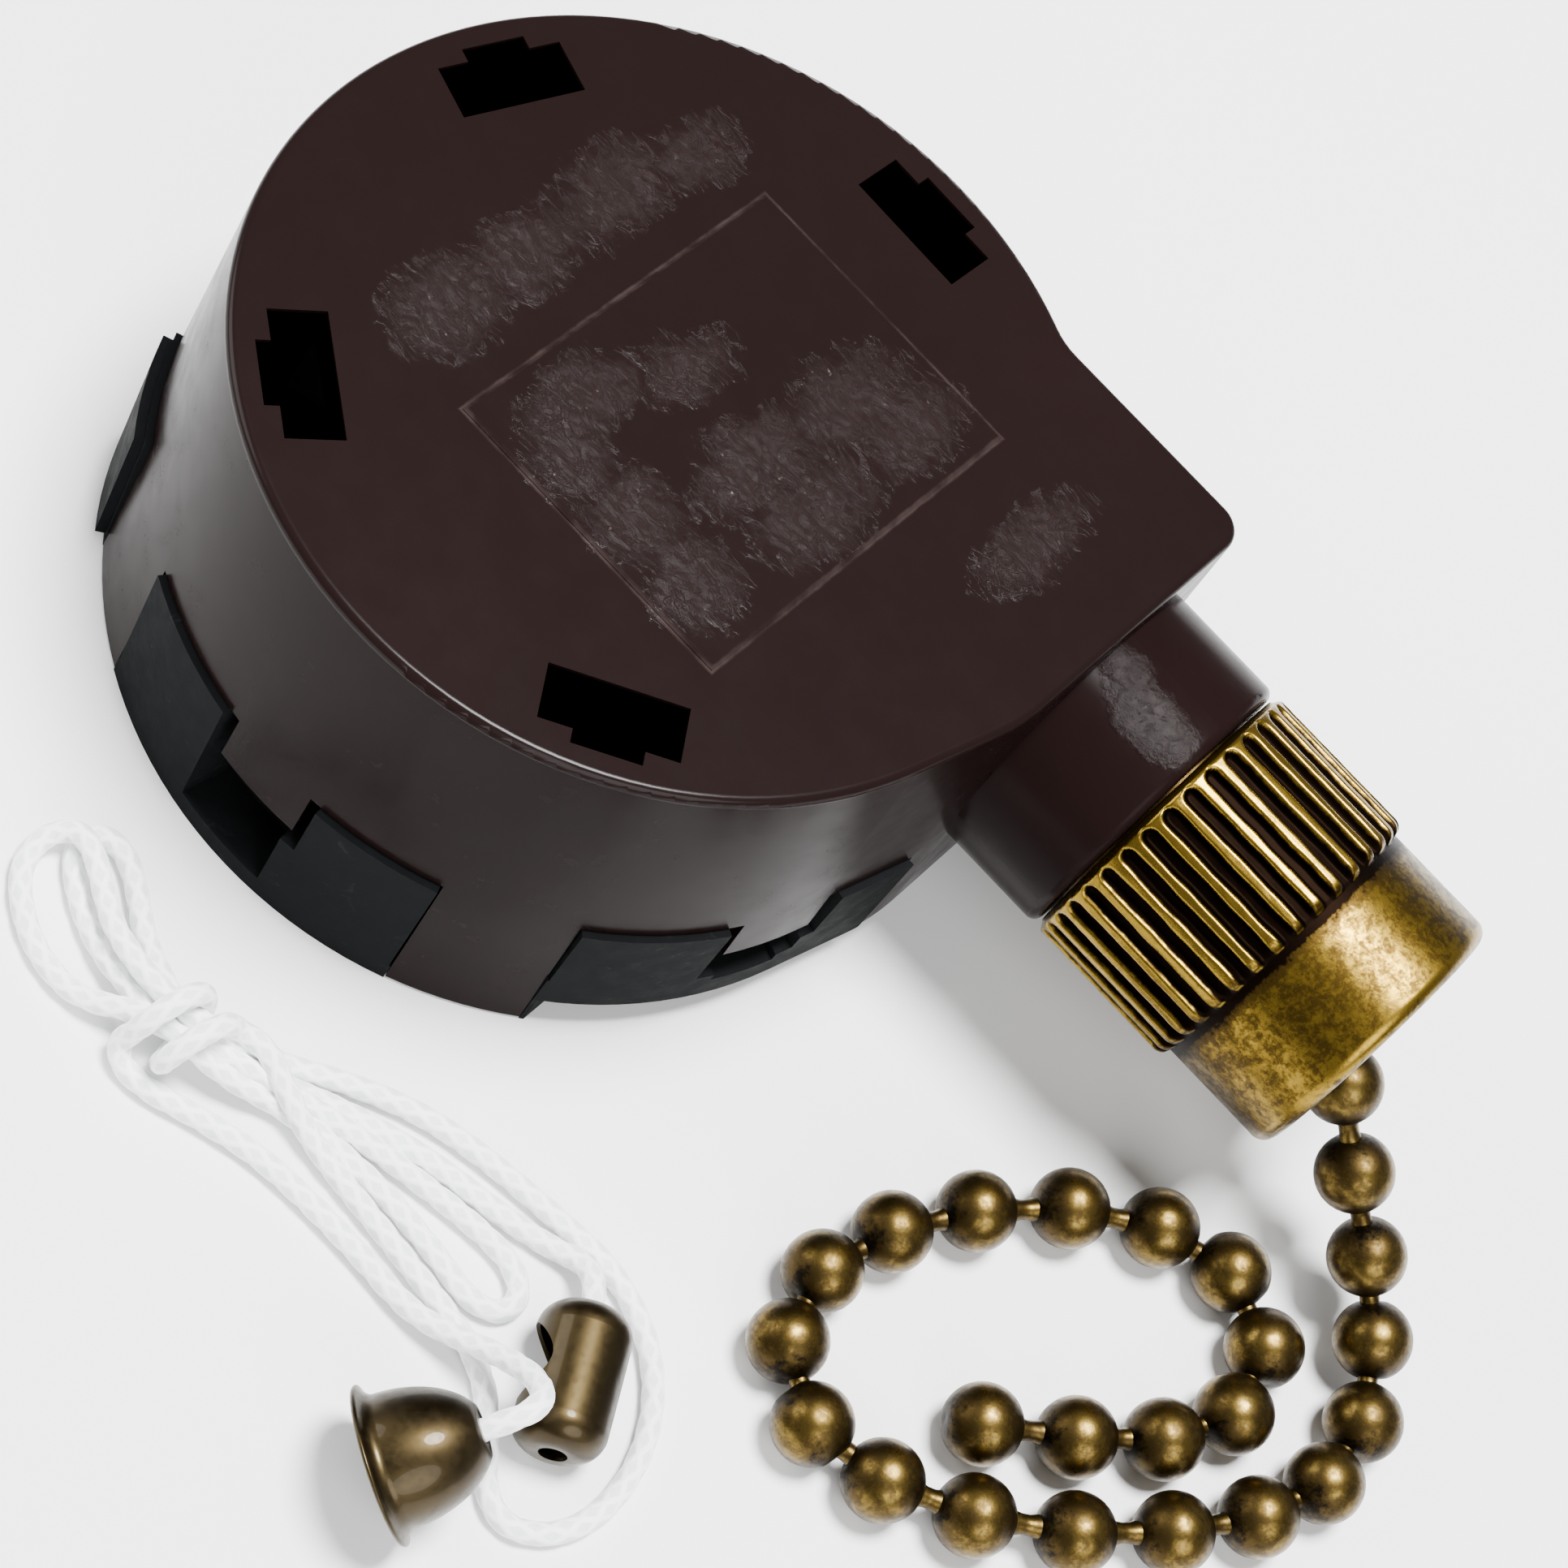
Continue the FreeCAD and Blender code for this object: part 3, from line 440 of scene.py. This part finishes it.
# ---------------------------------------------------------------- materials
class Shader:
    """A Principled material built up from a few kinds of node."""

    def __init__(self, name, rough=0.4, metal=0.0, specular=0.5, coat=0.0):
        self.material = bpy.data.materials.new(name)
        self.material.use_nodes = True
        self.tree = self.material.node_tree
        self.out = self.tree.nodes["Principled BSDF"]
        self.out.inputs["Roughness"].default_value = rough
        self.out.inputs["Metallic"].default_value = metal
        self.out.inputs["Specular IOR Level"].default_value = specular
        self.out.inputs["Coat Weight"].default_value = coat
        self.place = self.tree.nodes.new("ShaderNodeTexCoord").outputs["Object"]

    def node(self, kind, inputs=None, **settings):
        made = self.tree.nodes.new(kind)
        for key, value in settings.items():
            setattr(made, key, value)
        for key, value in (inputs or {}).items():
            self.feed(made.inputs[key], value)
        return made

    def feed(self, socket, value):
        if isinstance(value, bpy.types.NodeSocket):
            self.tree.links.new(value, socket)
        else:
            socket.default_value = value

    def set(self, name, value):
        self.feed(self.out.inputs[name], value)

    def math(self, operation, a, b=0.0, clamp=False):
        return self.node("ShaderNodeMath", {0: a, 1: b}, operation=operation, use_clamp=clamp).outputs[0]

    def vector(self, operation, a, b):
        return self.node("ShaderNodeVectorMath", {0: a, 1: b}, operation=operation).outputs[0]

    def noise(self, per_mm, detail=4.0, rough=0.6, stretch=(1.0, 1.0, 1.0), distortion=0.0):
        """Fractal noise with about per_mm bumps to the millimetre."""
        place = self.vector("MULTIPLY", self.place, stretch)
        inputs = {"Vector": place, "Scale": per_mm * 1000.0, "Detail": detail, "Roughness": rough,
                  "Distortion": distortion}
        return self.node("ShaderNodeTexNoise", inputs).outputs["Fac"]

    def attribute(self, name):
        return self.node("ShaderNodeAttribute", attribute_name=name).outputs["Fac"]

    def spread(self, value, low, high, to_low=0.0, to_high=1.0):
        """Stretch low..high of a value to a new range, smoothly."""
        inputs = {"Value": value, "From Min": low, "From Max": high, "To Min": to_low, "To Max": to_high}
        return self.node("ShaderNodeMapRange", inputs, interpolation_type="SMOOTHSTEP").outputs["Result"]

    def mix(self, share, a, b):
        made = self.node("ShaderNodeMix", data_type="RGBA")
        self.feed(made.inputs["Factor"], share)
        for socket, value in ((made.inputs[6], a), (made.inputs[7], b)):
            self.feed(socket, (*value, 1.0) if isinstance(value, tuple) else value)
        return made.outputs[2]

    def bump(self, height, strength, depth_mm, below=None):
        inputs = {"Height": height, "Strength": strength, "Distance": depth_mm * MM}
        if below is not None:
            inputs["Normal"] = below
        return self.node("ShaderNodeBump", inputs).outputs["Normal"]

    def wander(self, per_mm, amount_mm):
        """The place, pushed about by noise, for ragged outlines."""
        inputs = {"Vector": self.place, "Scale": per_mm * 1000.0, "Detail": 6.0, "Roughness": 0.65}
        push = self.node("ShaderNodeTexNoise", inputs).outputs["Color"]
        push = self.vector("SUBTRACT", push, (0.5, 0.5, 0.5))
        return self.vector("ADD", self.place, self.vector("MULTIPLY", push, (amount_mm * MM,) * 3))

    def patch(self, place, centre, half):
        """1 inside a soft-edged blot, 0 outside; millimetres."""
        off = self.vector("SUBTRACT", place, tuple(mm(*centre)))
        off = self.vector("DIVIDE", off, tuple(mm(*half)))
        far = self.node("ShaderNodeVectorMath", {0: off}, operation="LENGTH").outputs["Value"]
        return self.spread(far, 0.45, 1.25, 1.0, 0.0)

    def patches(self, place, blots):
        total = None
        for centre, half in blots:
            blot = self.patch(place, centre, half)
            total = blot if total is None else self.math("MAXIMUM", total, blot)
        return total

    def from_axis(self):
        """Distance from the switch's axis, and height, both in metres."""
        parts = self.node("ShaderNodeSeparateXYZ", {0: self.place}).outputs
        flat = self.vector("MULTIPLY", self.place, (1.0, 1.0, 0.0))
        return self.node("ShaderNodeVectorMath", {0: flat}, operation="LENGTH").outputs["Value"], parts[2]

    def inside(self, radius_mm, top_mm):
        """1 within the moulding, where the colour is painted near-black as the shade seen through a slot.
        """
        away, height = self.from_axis()
        near = self.math("LESS_THAN", away, radius_mm * MM)
        return self.math("MULTIPLY", near, self.math("LESS_THAN", height, top_mm * MM))


# painted shade: the near-black colour given to the inside of the mouldings
UNLIT = (0.0003, 0.0003, 0.0003)        # what is seen through a slot
COVER_Z = 18.14
FACE_FROM = 17.6                # above this height is the cover's face
PANEL_FROM = 17.95              # above this, what the panel's border can show on
# the next two give where the cover and the base are painted near-black as shade
COVER_INSIDE = (16.0, 17.85)    # radius and top of the cover's hollow, a little past its skin
BASE_INSIDE = (15.1, 18.0)
SCUFFED = [                     # worn areas of the cover's face and nose: middle and half size
    ((-7.6, -4.9, COVER_Z), (2.0, 2.6, 1.0)), ((-7.5, -0.6, COVER_Z), (1.7, 3.0, 1.0)),
    ((-7.6, 4.4, COVER_Z), (1.9, 3.2, 1.0)), ((-7.0, 8.4, COVER_Z), (1.5, 2.2, 1.0)),
    ((-1.9, -3.6, COVER_Z), (1.6, 3.0, 1.0)), ((-0.4, 1.0, COVER_Z), (1.4, 2.3, 1.0)),
    ((-0.2, -5.7, COVER_Z), (1.6, 1.7, 1.0)), ((2.8, -5.3, COVER_Z), (1.9, 2.0, 1.0)),
    ((6.0, -5.4, COVER_Z), (1.9, 2.0, 1.0)), ((3.9, 0.2, COVER_Z), (1.8, 3.0, 1.0)),
    ((6.6, 0.6, COVER_Z), (1.8, 3.0, 1.0)), ((4.1, 5.3, COVER_Z), (1.9, 3.0, 1.0)),
    ((6.5, 6.4, COVER_Z), (1.7, 2.8, 1.0)), ((12.6, 7.0, 18.0), (1.3, 3.2, 1.0))]
# the neck's creased, glossy patch, which also carries a painted highlight: middle and half size
NECK_RUB_AND_HIGHLIGHT = [((20.4, 6.2, 16.6), (2.0, 1.1, 1.4)), ((18.5, 6.9, 16.9), (1.1, 0.8, 1.2))]
PANEL_MIDDLE = (2.35, 0.9)
PANEL_HALF = (6.45, 8.4)


def panel_edge(s):
    """1 along the raised panel's border, in broken stretches."""
    off = s.vector("SUBTRACT", s.wander(1.2, 0.16), tuple(mm(*PANEL_MIDDLE, 0.0)))
    off = s.vector("SUBTRACT", s.vector("ABSOLUTE", off, (0.0, 0.0, 0.0)), tuple(mm(*PANEL_HALF, 0.0)))
    parts = s.node("ShaderNodeSeparateXYZ", {0: off}).outputs
    far = s.math("ABSOLUTE", s.math("MAXIMUM", parts[0], parts[1]))
    broken = s.spread(s.noise(0.5, detail=6.0), 0.38, 0.62, 0.25, 1.0)
    line = s.math("MULTIPLY", s.spread(far, 0.04 * MM, 0.16 * MM, 1.0, 0.0), broken)
    return s.math("MULTIPLY", line, s.math("GREATER_THAN", s.from_axis()[1], PANEL_FROM * MM))


def housing_material():
    """Glossy reddish-brown moulding, scuffed on its face and nose, rubbed and creased on the neck with a
    painted highlight there, and painted near-black inside as shade.
    """
    s = Shader("housing", specular=0.02)
    ragged = s.wander(0.7, 2.6)
    scuffed = s.patches(ragged, SCUFFED)
    grain = s.noise(2.4, detail=8.0, rough=0.75, distortion=0.6)
    strokes = s.noise(0.8, detail=6.0, rough=0.62, stretch=(0.6, 1.6, 1.0), distortion=1.6)
    ridges = s.spread(s.math("ABSOLUTE", s.math("SUBTRACT", strokes, 0.5)), 0.0, 0.035, 1.0, 0.0)
    haze = s.math("MULTIPLY", scuffed, s.spread(grain, 0.3, 0.7, 0.3, 1.0))
    neck = s.patches(s.wander(1.1, 1.1), NECK_RUB_AND_HIGHLIGHT)
    # painted highlight: within the neck's creased patch the colour is lightened to stand in for the light's
    # highlight there
    painted_neck_highlight = s.math("MULTIPLY", neck, s.spread(grain, 0.40, 0.66))
    colour = s.mix(s.noise(0.09, detail=3.0), (0.0054, 0.0026, 0.0026), (0.0072, 0.0037, 0.0035))
    colour = s.mix(haze, colour, (0.0084, 0.0044, 0.0042))
    worn = s.math("MULTIPLY", s.math("MULTIPLY", scuffed, ridges), 0.26)
    colour = s.mix(worn, colour, (0.026, 0.017, 0.016))
    specks = s.math("MULTIPLY", scuffed, s.spread(s.noise(3.4, detail=3.0), 0.70, 0.76))
    colour = s.mix(specks, colour, (0.085, 0.068, 0.062))
    colour = s.mix(s.math("MULTIPLY", panel_edge(s), 0.5), colour, (0.038, 0.027, 0.025))
    # painted highlight: light grey mixed in on the creased neck
    colour = s.mix(s.math("MULTIPLY", painted_neck_highlight, 0.35), colour, (0.05, 0.044, 0.042))
    # painted shade: inside the cover the colour goes near-black, as the shade seen through the slots
    painted_shade_inside = s.inside(*COVER_INSIDE)
    s.set("Base Color", s.mix(painted_shade_inside, colour, UNLIT))
    face = s.math("GREATER_THAN", s.from_axis()[1], FACE_FROM * MM)
    shine = s.math("ADD", s.math("MULTIPLY", face, 0.13), s.math("MULTIPLY", neck, 0.5))
    s.set("Coat Weight", s.math("MULTIPLY", shine, s.math("SUBTRACT", 1.0, painted_shade_inside)))
    s.out.inputs["Coat Roughness"].default_value = 0.2
    fine = s.noise(0.6, detail=6.0)
    wear = s.math("MULTIPLY", s.math("MAXIMUM", haze, neck), 0.12)
    s.set("Roughness", s.math("ADD", s.spread(fine, 0.3, 0.7, 0.19, 0.28), wear))
    ripple = s.bump(s.noise(0.18, detail=2.0), 0.10, 0.25)
    carved = s.math("MULTIPLY", scuffed, s.math("ADD", grain, ridges))
    creased = s.math("MULTIPLY", neck, s.math("MULTIPLY", s.math("ADD", strokes, grain), 3.2))
    relief = s.bump(s.math("ADD", carved, creased), 0.55, 0.08, ripple)
    s.set("Normal", relief)
    s.set("Coat Normal", relief)
    return s.material


def base_material():
    """Matt black-grey moulding with small chips and scuffs."""
    s = Shader("base", specular=0.006)
    grain = s.noise(1.1, detail=7.0, rough=0.65)
    chips = s.spread(s.noise(0.8, detail=5.0, distortion=0.8), 0.62, 0.74)
    colour = s.mix(grain, (0.0046, 0.0050, 0.0053), (0.0082, 0.0090, 0.0095))
    colour = s.mix(s.math("MULTIPLY", chips, 0.4), colour, (0.022, 0.022, 0.022))
    # painted shade: inside the base the colour goes near-black, as the shade seen through the slots
    s.set("Base Color", s.mix(s.inside(*BASE_INSIDE), colour, UNLIT))
    s.set("Roughness", s.spread(grain, 0.3, 0.7, 0.44, 0.60))
    s.set("Normal", s.bump(s.math("ADD", grain, chips), 0.35, 0.05))
    return s.material


def brass_patina(s, dirt, gold, brown, dark, per_mm):
    """Mottled gold over brown over dark, by a share of dirt; per_mm is how fine the mottle is."""
    mottle = s.noise(per_mm, detail=8.0, rough=0.70, distortion=0.5)
    fine = s.noise(4.5, detail=5.0, rough=0.7)
    level = s.math("ADD", dirt, s.spread(mottle, 0.25, 0.75, -0.24, 0.24))
    level = s.math("ADD", level, s.spread(fine, 0.3, 0.7, -0.14, 0.14))
    colour = s.mix(s.spread(level, 0.15, 0.6), gold, brown)
    colour = s.mix(s.spread(level, 0.6, 1.0), colour, dark)
    s.set("Base Color", colour)
    s.set("Roughness", s.spread(level, 0.1, 1.0, 0.27, 0.50))
    s.set("Normal", s.bump(s.math("ADD", mottle, fine), 0.25, 0.03))


def nut_material():
    """Antiqued brass: bright on the worn ridges and rim, brown on the barrel, dark in the grooves."""
    s = Shader("antique_brass", metal=1.0)
    dirt = s.spread(s.attribute("worn"), 0.0, 1.0, 1.37, 0.12)
    gold, brown, dark = (0.205, 0.131, 0.0165), (0.042, 0.025, 0.0050), (0.0033, 0.0018, 0.0011)
    brass_patina(s, dirt, gold, brown, dark, 1.3)
    return s.material


def chain_material():
    """Antiqued brass beads, darker towards the links."""
    s = Shader("chain_brass", metal=1.0)
    dirt = s.spread(s.attribute("tarnish"), 0.2, 1.0, 0.38, 0.86)
    gold, brown, dark = (0.128, 0.085, 0.0205), (0.044, 0.0285, 0.0086), (0.0062, 0.0048, 0.0033)
    brass_patina(s, dirt, gold, brown, dark, 1.0)
    return s.material


def bronze_material():
    """Satin bronze under lacquer, with slow changes of colour."""
    s = Shader("bronze", metal=1.0, coat=0.12)
    cloud = s.noise(0.28, detail=4.0, distortion=0.6)
    colour = s.mix(s.spread(cloud, 0.3, 0.7), (0.027, 0.0190, 0.0086), (0.043, 0.0310, 0.0132))
    fine = s.noise(3.0, detail=5.0)
    s.set("Base Color", s.mix(s.spread(fine, 0.55, 0.75, 0.0, 0.35), colour, (0.018, 0.012, 0.007)))
    s.set("Roughness", s.spread(fine, 0.3, 0.7, 0.34, 0.44))
    s.set("Normal", s.bump(cloud, 0.15, 0.05))
    return s.material


def cord_material():
    """White braided nylon, painted a little darker between its strands as shade."""
    s = Shader("white_cord", rough=0.62, specular=0.3)
    # painted shade: darker colour where the braid's skin dips between strands
    strand_gap_shade = s.spread(s.attribute("rise"), -0.1, 0.7, 1.0, 0.0)
    fibre = s.noise(6.0, detail=3.0)
    colour = s.mix(strand_gap_shade, (0.95, 0.955, 0.96), (0.72, 0.74, 0.75))
    s.set("Base Color", s.mix(s.spread(fibre, 0.35, 0.7, 0.0, 0.3), colour, (0.82, 0.84, 0.85)))
    s.set("Normal", s.bump(fibre, 0.3, 0.03))
    s.out.inputs["Sheen Weight"].default_value = 0.25
    return s.material


def plain_metal(name, dark, light, rough):
    """Turned or stamped metal: fine grain in colour and gloss."""
    s = Shader(name, metal=1.0)
    grain = s.noise(1.8, detail=6.0)
    s.set("Base Color", s.mix(grain, dark, light))
    s.set("Roughness", s.spread(grain, 0.3, 0.7, rough - 0.06, rough + 0.08))
    s.set("Normal", s.bump(grain, 0.2, 0.02))
    return s.material


def plain_moulding(name, dark, light, rough):
    """Plastic moulding with a faint mottle."""
    s = Shader(name, specular=0.4)
    grain = s.noise(0.9, detail=5.0)
    s.set("Base Color", s.mix(grain, dark, light))
    s.set("Roughness", s.spread(grain, 0.3, 0.7, rough - 0.05, rough + 0.08))
    s.set("Normal", s.bump(grain, 0.15, 0.03))
    return s.material


def all_materials():
    return {
        "housing": housing_material(),
        "base": base_material(),
        "antique_brass": nut_material(),
        "chain_brass": chain_material(),
        "bronze": bronze_material(),
        "white_cord": cord_material(),
        "nipple": plain_metal("nipple", (0.03, 0.018, 0.006), (0.07, 0.044, 0.014), 0.38),
        "pin_steel": plain_metal("pin_steel", (0.45, 0.45, 0.46), (0.62, 0.62, 0.63), 0.28),
        "copper": plain_metal("copper", (0.50, 0.24, 0.13), (0.68, 0.36, 0.21), 0.32),
        # painted shade: the spring and the drum are kept near-black so that they show as shade through the
        # slots
        "spring_steel": plain_metal("spring_steel", (0.02, 0.021, 0.024), (0.04, 0.041, 0.044), 0.40),
        "drum": plain_moulding("drum", (0.0035, 0.0033, 0.0030), (0.0055, 0.0052, 0.0046), 0.6),
        "pawl": plain_moulding("pawl", (0.10, 0.09, 0.075), (0.13, 0.12, 0.10), 0.5),
        "rotor": plain_moulding("rotor", (0.040, 0.010, 0.008), (0.060, 0.016, 0.012), 0.4)}


def dress(obj, material):
    obj.data.materials.clear()
    obj.data.materials.append(material)


chain = ball_chain()
bell_skin = bell()
cord = white_cord()
nut = knurled_nut()
finish_of = all_materials()
for sub in frame["record"]["subparts"]:
    dressed = frame["nodes"][sub["node"]]
    for slot in dressed.material_slots:
        slot.material = finish_of[sub["material_slot"]]
dress(chain, finish_of["chain_brass"])
dress(cord, finish_of["white_cord"])
dress(nut, finish_of["antique_brass"])
dress(bell_skin, finish_of["bronze"])


# ---------------------------------------------------------------- floor and light
FLOOR = 0.6         # half its width
AIM = (0.012, -0.005, 0.006)


def floor_material():
    s = Shader("floor", rough=0.7, specular=0.2)
    s.set("Base Color", s.mix(s.noise(0.02, detail=2.0), (0.86, 0.86, 0.86), (0.885, 0.885, 0.885)))
    return s.material


corners = [(-FLOOR, -FLOOR, 0), (FLOOR, -FLOOR, 0), (FLOOR, FLOOR, 0), (-FLOOR, FLOOR, 0)]
floor = object_of("floor", corners, [(0, 1, 2, 3)])
dress(floor, floor_material())


def area_light(name, direction, distance, size, power):
    """Round soft light, looking at the aim from a direction."""
    data = bpy.data.lights.new(name, "AREA")
    data.shape = "DISK"
    data.size = size
    data.energy = power
    light = bpy.data.objects.new(name, data)
    away = Vector(direction).normalized()
    light.location = Vector(AIM) + away * distance
    light.rotation_mode = "QUATERNION"
    light.rotation_quaternion = (-away).to_track_quat("-Z", "Y")
    bpy.context.scene.collection.objects.link(light)


area_light("key", (0.03, 0.12, 0.99), 0.45, 0.16, 8.5)
area_light("side", (-0.85, -0.25, 0.45), 0.55, 0.35, 2.4)
area_light("fill", (0.75, -0.55, 0.62), 0.60, 0.42, 3.6)
world = bpy.data.worlds.new("world")
bpy.context.scene.world = world
world.use_nodes = True
world.node_tree.nodes["Background"].inputs["Color"].default_value = (1.0, 1.0, 1.0, 1.0)
world.node_tree.nodes["Background"].inputs["Strength"].default_value = 0.45
